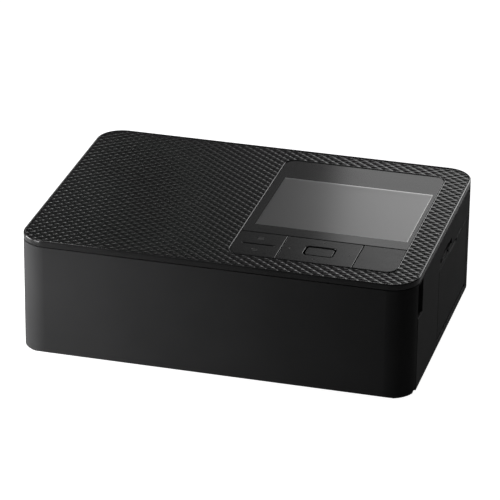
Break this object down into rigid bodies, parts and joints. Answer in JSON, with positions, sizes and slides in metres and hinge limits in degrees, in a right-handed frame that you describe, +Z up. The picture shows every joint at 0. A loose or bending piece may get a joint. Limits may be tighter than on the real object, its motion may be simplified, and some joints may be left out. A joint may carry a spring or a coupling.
{
  "type": "compact photo printer",
  "caption": "Compact dye-transfer photo printer with a textured top, display window with rocking keys, front and side doors and a working paper and ribbon drive.",
  "frame": {"origin": "on the table, under the middle of the printer", "axes": "+X to the right, +Y to the back, +Z up, seen from the front door"},
  "size_m": [0.1822, 0.133, 0.0576],
  "materials": {
    "black_shell": "fine matt moulding, pyramid texture on top",
    "rubber": "matt black rubber",
    "steel": "ground",
    "window": "polished, smoke tinted",
    "lcd_metal": "pressed sheet",
    "lcd_panel": "satin",
    "key_plastic": "polished",
    "board": "solder mask",
    "inner_plastic": "fine matt",
    "sheet_steel": "zinc plated",
    "motor_case": "plated",
    "brass": "cut",
    "white_plastic": "natural acetal",
    "heat_sink": "extruded",
    "ceramic": "glazed ceramic",
    "cassette_grey": "fine matt",
    "ribbon_film": "thin film",
    "catch_orange": "fine matt",
    "chips": "moulded epoxy",
    "socket_metal": "nickel plated"
  },
  "bodies": {
    "case": {"bottom_case": "black_shell", "rear_panel": "black_shell", "front_frame": "black_shell", "top_cover": "black_shell", "ink_door_rod": "steel", "rubber_feet": "rubber", "case_screws": "steel", "display_window": "window", "lcd_frame": "lcd_metal", "lcd_glass": "lcd_panel", "keypad_mat": "rubber", "keypad_board": "board", "paper_bed": "inner_plastic", "chassis_left": "sheet_steel", "chassis_right": "sheet_steel", "front_stay": "sheet_steel", "rear_stay": "sheet_steel", "motor_bracket": "sheet_steel", "feed_motor": "motor_case", "ribbon_motor": "motor_case", "shaft_bushes": "white_plastic", "head_pivot": "steel", "cassette_case": "cassette_grey", "ink_ribbon": "ribbon_film", "catch_guide": "sheet_steel", "main_board": "board", "board_parts": "chips", "card_board": "board", "card_socket": "socket_metal", "large_port_socket": "socket_metal", "small_port_socket": "socket_metal", "power_inlet": "inner_plastic", "fan_frame": "inner_plastic"},
    "front_door": {"front_door": "black_shell", "front_door_pins": "steel"},
    "ink_door": {"ink_door": "black_shell"},
    "menu_back_key": {"menu_back_key": "key_plastic"},
    "nav_gimbal": {"nav_gimbal": "key_plastic"},
    "nav_key": {"nav_key": "key_plastic"},
    "ok_key": {"ok_key": "key_plastic"},
    "power_key": {"power_key": "key_plastic"},
    "catch": {"cassette_catch": "catch_orange"},
    "capstan": {"capstan_roller": "steel", "capstan_gear": "white_plastic"},
    "pinch": {"pinch_roller": "rubber"},
    "pickup": {"pickup_shaft": "steel", "pickup_tyres": "rubber", "pickup_gear": "white_plastic"},
    "reduction": {"reduction_gear": "white_plastic"},
    "feed_drive": {"feed_pinion": "brass"},
    "ribbon_drive": {"ribbon_pinion": "brass"},
    "takeup_drive": {"takeup_gear": "white_plastic"},
    "takeup": {"takeup_spool": "cassette_grey"},
    "supply": {"supply_spool": "cassette_grey"},
    "platen": {"platen_shaft": "steel", "platen_sleeve": "rubber"},
    "head": {"head_arm": "sheet_steel", "heat_sink": "heat_sink", "thermal_head": "ceramic"},
    "fan": {"fan_rotor": "inner_plastic"}
  },
  "joints": [
    {"name": "front_door_hinge", "type": "hinge", "parent": "case", "child": "front_door", "pos_m": [0, -0.0616, 0.0065], "axis": [1, 0, 0], "range_deg": [0, 90]},
    {"name": "ink_door_hinge", "type": "hinge", "parent": "case", "child": "ink_door", "pos_m": [0.0889, 0.019, 0.0075], "axis": [0, 1, 0], "range_deg": [0, 90]},
    {"name": "menu_back_rock", "type": "hinge", "parent": "case", "child": "menu_back_key", "pos_m": [0.014, -0.04125, 0.0563], "axis": [1, 0, 0], "range_deg": [-1.2, 1.2], "stiffness_Nm_per_rad": 0.2},
    {"name": "nav_side_tilt", "type": "hinge", "parent": "case", "child": "nav_gimbal", "pos_m": [0.04245, -0.04125, 0.0554], "axis": [0, 1, 0], "range_deg": [-0.7, 0.7], "stiffness_Nm_per_rad": 0.4},
    {"name": "nav_front_tilt", "type": "hinge", "parent": "nav_gimbal", "child": "nav_key", "pos_m": [0.04245, -0.04125, 0.0554], "axis": [1, 0, 0], "range_deg": [-1, 1], "stiffness_Nm_per_rad": 0.4},
    {"name": "ok_press", "type": "slide", "parent": "case", "child": "ok_key", "axis": [0, 0, -1], "range_m": [0, 0.00035], "stiffness_N_per_m": 2800},
    {"name": "power_press", "type": "slide", "parent": "case", "child": "power_key", "axis": [0, 0, -1], "range_m": [0, 0.00035], "stiffness_N_per_m": 2800},
    {"name": "catch_lift", "type": "slide", "parent": "case", "child": "catch", "axis": [0, 0, 1], "range_m": [0, 0.003]},
    {"name": "capstan_spin", "type": "hinge", "parent": "case", "child": "capstan", "pos_m": [0, -0.015, 0.0135], "axis": [1, 0, 0], "continuous": true},
    {"name": "pickup_spin", "type": "hinge", "parent": "case", "child": "pickup", "pos_m": [0, -0.02901, 0.02202], "axis": [1, 0, 0], "continuous": true},
    {"name": "pinch_spin", "type": "hinge", "parent": "case", "child": "pinch", "pos_m": [0, -0.015, 0.0212], "axis": [1, 0, 0], "continuous": true},
    {"name": "reduction_spin", "type": "hinge", "parent": "case", "child": "reduction", "pos_m": [0, -0.01362, 0.02663], "axis": [1, 0, 0], "continuous": true},
    {"name": "feed_pinion_spin", "type": "hinge", "parent": "case", "child": "feed_drive", "pos_m": [0, -0.02941, 0.03237], "axis": [1, 0, 0], "continuous": true},
    {"name": "platen_spin", "type": "hinge", "parent": "case", "child": "platen", "pos_m": [0, 0.019, 0.0115], "axis": [1, 0, 0], "continuous": true},
    {"name": "takeup_drive_spin", "type": "hinge", "parent": "case", "child": "takeup_drive", "pos_m": [0, 0.001, 0.0287], "axis": [1, 0, 0], "continuous": true},
    {"name": "ribbon_pinion_spin", "type": "hinge", "parent": "case", "child": "ribbon_drive", "pos_m": [0, 0.0138, 0.0287], "axis": [1, 0, 0], "continuous": true},
    {"name": "takeup_spin", "type": "hinge", "parent": "case", "child": "takeup", "pos_m": [0, 0.001, 0.0287], "axis": [1, 0, 0], "continuous": true},
    {"name": "supply_spin", "type": "hinge", "parent": "case", "child": "supply", "pos_m": [0, 0.037, 0.0287], "axis": [1, 0, 0], "continuous": true},
    {"name": "head_lower", "type": "hinge", "parent": "case", "child": "head", "pos_m": [0, 0.056, 0.0445], "axis": [1, 0, 0], "range_deg": [0, 6.2]},
    {"name": "fan_spin", "type": "hinge", "parent": "case", "child": "fan", "pos_m": [-0.061, 0.0605, 0.0244], "axis": [0, 1, 0], "continuous": true}
  ],
  "couplings": [
    {"joint": "pickup_spin", "follows": "capstan_spin", "ratio": -1.05},
    {"joint": "pinch_spin", "follows": "capstan_spin", "ratio": -1.1765},
    {"joint": "reduction_spin", "follows": "capstan_spin", "ratio": -1.75},
    {"joint": "feed_pinion_spin", "follows": "capstan_spin", "ratio": 4.375},
    {"joint": "ribbon_pinion_spin", "follows": "takeup_drive_spin", "ratio": -1.6667},
    {"joint": "takeup_spin", "follows": "takeup_drive_spin", "ratio": 1},
    {"joint": "supply_spin", "follows": "takeup_drive_spin", "ratio": 0.65854}
  ]
}
